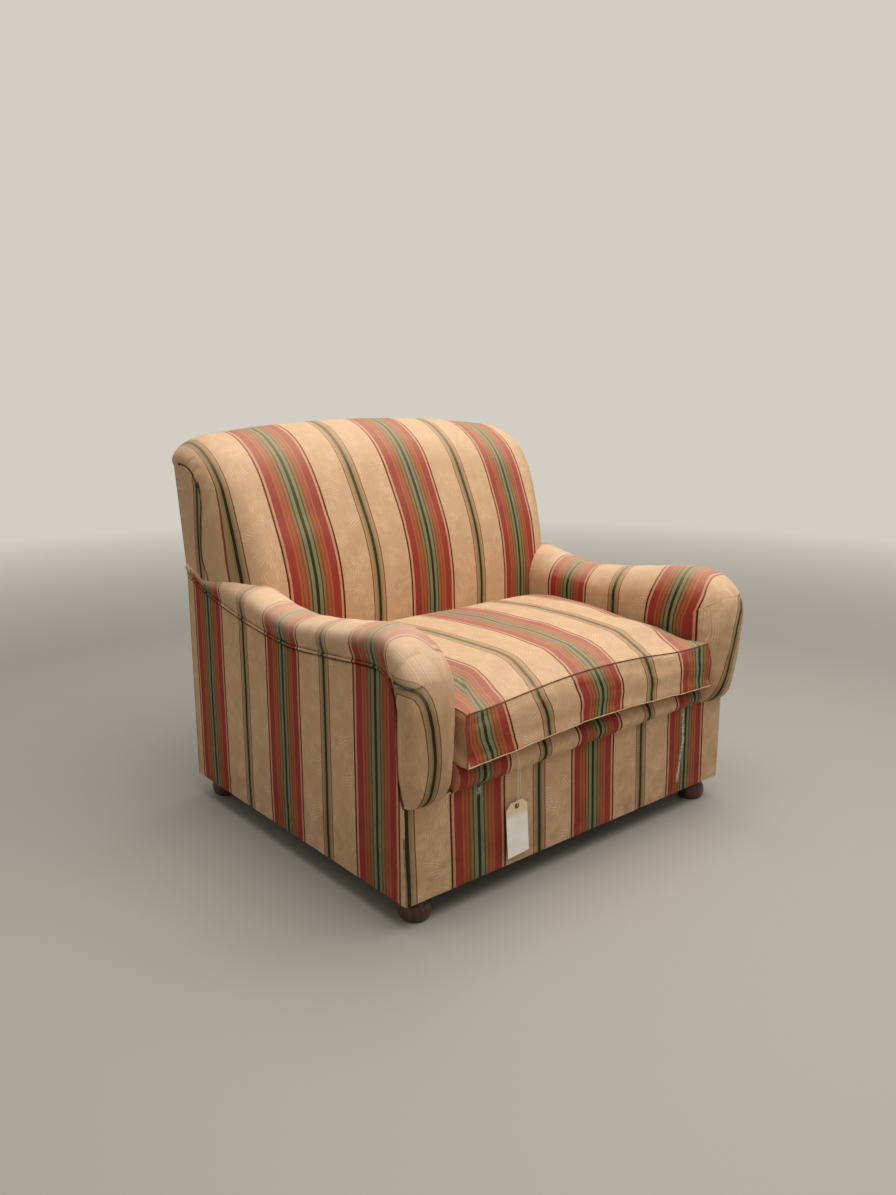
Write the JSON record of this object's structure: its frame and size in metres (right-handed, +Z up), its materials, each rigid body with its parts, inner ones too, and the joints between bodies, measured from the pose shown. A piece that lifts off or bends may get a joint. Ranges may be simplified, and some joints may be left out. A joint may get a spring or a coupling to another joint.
{
  "type": "sagging old armchair",
  "caption": "Low, wide upholstered armchair with rolled arms, a scrolled back, a slumped loose seat cushion, faded striped cloth and bun feet; a paper hang tag on string.",
  "frame": {"origin": "centre of the chair's footprint box on the floor, midway between its sides and between its front and rear extremes", "axes": "+Z up, -Y towards the front where a sitter's knees are, +X to the right as seen from the front"},
  "size_m": [1.0392, 0.9744, 0.936],
  "materials": {
    "beech": "plain sawn frame timber",
    "stained_wood": "dark brown stain, satin, scuffed",
    "jute_webbing": "woven jute straps",
    "spring_steel": "dull spring wire",
    "hessian": "coarse plain weave",
    "striped_cloth": "beige cloth with a leafy woven figure and red, rust and green stripes, faded and worn",
    "black_cloth": "thin black dust cloth",
    "cotton_string": "thin twisted string",
    "tag_paper": "matt manila card",
    "eyelet_fibre": "brown fibre reinforcement ring"
  },
  "bodies": {
    "root": {"front_rail": "beech", "back_rail": "beech", "left_side_rail": "beech", "right_side_rail": "beech", "front_left_corner_block": "beech", "front_right_corner_block": "beech", "back_left_corner_block": "beech", "back_right_corner_block": "beech", "left_arm_post": "beech", "right_arm_post": "beech", "left_arm_rail": "beech", "right_arm_rail": "beech", "left_tacking_rail": "beech", "right_tacking_rail": "beech", "left_back_post": "beech", "right_back_post": "beech", "lower_back_rail": "beech", "top_back_rail": "beech", "front_left_foot": "stained_wood", "front_right_foot": "stained_wood", "back_left_foot": "stained_wood", "back_right_foot": "stained_wood", "seat_webbing": "jute_webbing", "back_webbing": "jute_webbing", "front_left_spring": "spring_steel", "front_centre_spring": "spring_steel", "front_right_spring": "spring_steel", "middle_left_spring": "spring_steel", "middle_centre_spring": "spring_steel", "middle_right_spring": "spring_steel", "back_left_spring": "spring_steel", "back_centre_spring": "spring_steel", "back_right_spring": "spring_steel", "spring_canvas": "hessian", "seat_deck": "striped_cloth", "seat_cushion": "striped_cloth", "left_arm_roll": "striped_cloth", "right_arm_roll": "striped_cloth", "left_inside_arm": "striped_cloth", "right_inside_arm": "striped_cloth", "left_outside_arm": "striped_cloth", "right_outside_arm": "striped_cloth", "front_apron": "striped_cloth", "back_pad": "striped_cloth", "left_back_side": "striped_cloth", "right_back_side": "striped_cloth", "outside_back": "striped_cloth", "bottom_cloth": "black_cloth", "tag_string": "cotton_string", "hang_tag": "tag_paper", "tag_eyelet": "eyelet_fibre"}
  },
  "joints": []
}
